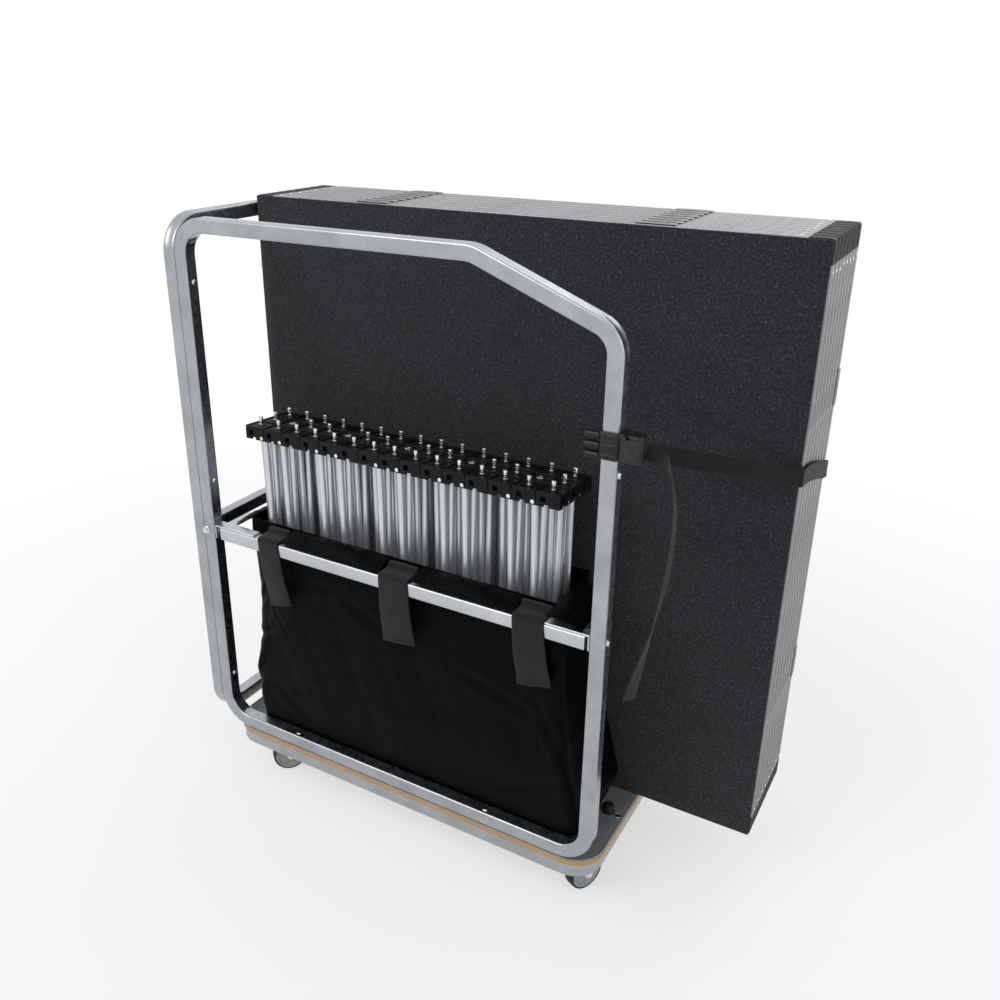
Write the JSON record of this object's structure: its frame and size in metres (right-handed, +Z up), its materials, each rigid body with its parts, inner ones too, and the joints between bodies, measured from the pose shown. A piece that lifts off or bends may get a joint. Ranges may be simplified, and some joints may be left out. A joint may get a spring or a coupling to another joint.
{
  "type": "portable stage on storage trolley",
  "caption": "Portable stage packed on a wheeled tube trolley: carpeted square decks, folded scissor risers in a black bag, a strap with a lever clip.",
  "frame": {"origin": "middle of the whole part's footprint, on the floor under the wheels", "axes": "+X along the decks towards their free end, +Y from the bag towards the decks, +Z up"},
  "size_m": [1.0347, 0.4276, 1.1153],
  "materials": {
    "plated_tube": "satin",
    "laminate_board": "satin",
    "black_rubber": "matte",
    "bag_nylon": "satin",
    "webbing": "matte",
    "black_plastic": "matte",
    "deck_aluminium": "satin",
    "deck_carpet": "matte",
    "riser_aluminium": "satin",
    "wheel_plastic": "satin",
    "tyre_rubber": "matte"
  },
  "bodies": {
    "trolley": {"base_board": "laminate_board", "base_frame": "plated_tube", "front_frame": "plated_tube", "end_frame": "plated_tube", "bag_rail": "plated_tube", "rubber_button": "black_rubber", "riser_bag": "bag_nylon", "bag_tab_left": "webbing", "bag_tab_middle": "webbing", "bag_tab_right": "webbing", "cargo_strap": "webbing", "strap_tail": "webbing", "clip_body": "black_plastic"},
    "lever": {"clip_lever": "black_plastic"},
    "deck_1": {"deck_1_edge_frame": "deck_aluminium", "deck_1_panel": "deck_carpet"},
    "deck_2": {"deck_2_edge_frame": "deck_aluminium", "deck_2_panel": "deck_carpet"},
    "deck_3": {"deck_3_edge_frame": "deck_aluminium", "deck_3_panel": "deck_carpet"},
    "deck_4": {"deck_4_edge_frame": "deck_aluminium", "deck_4_panel": "deck_carpet"},
    "deck_5": {"deck_5_edge_frame": "deck_aluminium", "deck_5_panel": "deck_carpet"},
    "deck_6": {"deck_6_edge_frame": "deck_aluminium", "deck_6_panel": "deck_carpet"},
    "deck_7": {"deck_7_edge_frame": "deck_aluminium", "deck_7_panel": "deck_carpet"},
    "deck_8": {"deck_8_edge_frame": "deck_aluminium", "deck_8_panel": "deck_carpet"},
    "riser_1": {"riser_1_front_row": "riser_aluminium", "riser_1_middle_row": "riser_aluminium", "riser_1_rear_row": "riser_aluminium"},
    "riser_2": {"riser_2_front_row": "riser_aluminium", "riser_2_middle_row": "riser_aluminium", "riser_2_rear_row": "riser_aluminium"},
    "riser_3": {"riser_3_front_row": "riser_aluminium", "riser_3_middle_row": "riser_aluminium", "riser_3_rear_row": "riser_aluminium"},
    "riser_4": {"riser_4_front_row": "riser_aluminium", "riser_4_middle_row": "riser_aluminium", "riser_4_rear_row": "riser_aluminium"},
    "riser_5": {"riser_5_front_row": "riser_aluminium", "riser_5_middle_row": "riser_aluminium", "riser_5_rear_row": "riser_aluminium"},
    "caster_front_right": {"caster_front_right_fork": "plated_tube"},
    "wheel_front_right": {"caster_front_right_wheel": "wheel_plastic", "caster_front_right_tyre": "tyre_rubber"},
    "caster_front_left": {"caster_front_left_fork": "plated_tube"},
    "wheel_front_left": {"caster_front_left_wheel": "wheel_plastic", "caster_front_left_tyre": "tyre_rubber"},
    "caster_rear_right": {"caster_rear_right_fork": "plated_tube"},
    "wheel_rear_right": {"caster_rear_right_wheel": "wheel_plastic", "caster_rear_right_tyre": "tyre_rubber"},
    "caster_rear_left": {"caster_rear_left_fork": "plated_tube"},
    "wheel_rear_left": {"caster_rear_left_wheel": "wheel_plastic", "caster_rear_left_tyre": "tyre_rubber"}
  },
  "joints": [
    {"name": "clip_lever_hinge", "type": "hinge", "parent": "trolley", "child": "lever", "pos_m": [0.32055, -0.2102, 0.85], "axis": [0, 0, -1], "range_deg": [0, 110]},
    {"name": "deck_1_lift", "type": "slide", "parent": "trolley", "child": "deck_1", "axis": [0, 0, 1], "range_m": [0, 1.05]},
    {"name": "deck_2_lift", "type": "slide", "parent": "trolley", "child": "deck_2", "axis": [0, 0, 1], "range_m": [0, 1.05]},
    {"name": "deck_3_lift", "type": "slide", "parent": "trolley", "child": "deck_3", "axis": [0, 0, 1], "range_m": [0, 1.05]},
    {"name": "deck_4_lift", "type": "slide", "parent": "trolley", "child": "deck_4", "axis": [0, 0, 1], "range_m": [0, 1.05]},
    {"name": "deck_5_lift", "type": "slide", "parent": "trolley", "child": "deck_5", "axis": [0, 0, 1], "range_m": [0, 1.05]},
    {"name": "deck_6_lift", "type": "slide", "parent": "trolley", "child": "deck_6", "axis": [0, 0, 1], "range_m": [0, 1.05]},
    {"name": "deck_7_lift", "type": "slide", "parent": "trolley", "child": "deck_7", "axis": [0, 0, 1], "range_m": [0, 1.05]},
    {"name": "deck_8_lift", "type": "slide", "parent": "trolley", "child": "deck_8", "axis": [0, 0, 1], "range_m": [0, 1.05]},
    {"name": "riser_1_lift", "type": "slide", "parent": "trolley", "child": "riser_1", "axis": [0, 0, 1], "range_m": [0, 0.66]},
    {"name": "riser_2_lift", "type": "slide", "parent": "trolley", "child": "riser_2", "axis": [0, 0, 1], "range_m": [0, 0.66]},
    {"name": "riser_3_lift", "type": "slide", "parent": "trolley", "child": "riser_3", "axis": [0, 0, 1], "range_m": [0, 0.66]},
    {"name": "riser_4_lift", "type": "slide", "parent": "trolley", "child": "riser_4", "axis": [0, 0, 1], "range_m": [0, 0.66]},
    {"name": "riser_5_lift", "type": "slide", "parent": "trolley", "child": "riser_5", "axis": [0, 0, 1], "range_m": [0, 0.66]},
    {"name": "front_right_swivel", "type": "hinge", "parent": "trolley", "child": "caster_front_right", "pos_m": [0.25865, -0.1521, 0.0709], "axis": [0, 0, 1], "continuous": true},
    {"name": "front_right_roll", "type": "hinge", "parent": "caster_front_right", "child": "wheel_front_right", "pos_m": [0.26943, -0.12899, 0.03358], "axis": [-0.9063, 0.4226, 0], "continuous": true},
    {"name": "front_left_swivel", "type": "hinge", "parent": "trolley", "child": "caster_front_left", "pos_m": [-0.35965, -0.1255, 0.0709], "axis": [0, 0, 1], "continuous": true},
    {"name": "front_left_roll", "type": "hinge", "parent": "caster_front_left", "child": "wheel_front_left", "pos_m": [-0.37604, -0.14503, 0.03358], "axis": [0.766, -0.6428, 0], "continuous": true},
    {"name": "rear_right_swivel", "type": "hinge", "parent": "trolley", "child": "caster_rear_right", "pos_m": [0.25865, 0.1621, 0.0709], "axis": [0, 0, 1], "continuous": true},
    {"name": "rear_right_roll", "type": "hinge", "parent": "caster_rear_right", "child": "wheel_rear_right", "pos_m": [0.23469, 0.15338, 0.03358], "axis": [0.342, -0.9397, 0], "continuous": true},
    {"name": "rear_left_swivel", "type": "hinge", "parent": "trolley", "child": "caster_rear_left", "pos_m": [-0.38545, 0.1471, 0.0709], "axis": [0, 0, 1], "continuous": true},
    {"name": "rear_left_roll", "type": "hinge", "parent": "caster_rear_left", "child": "wheel_rear_left", "pos_m": [-0.37673, 0.17106, 0.03358], "axis": [-0.9397, 0.342, 0], "continuous": true}
  ]
}
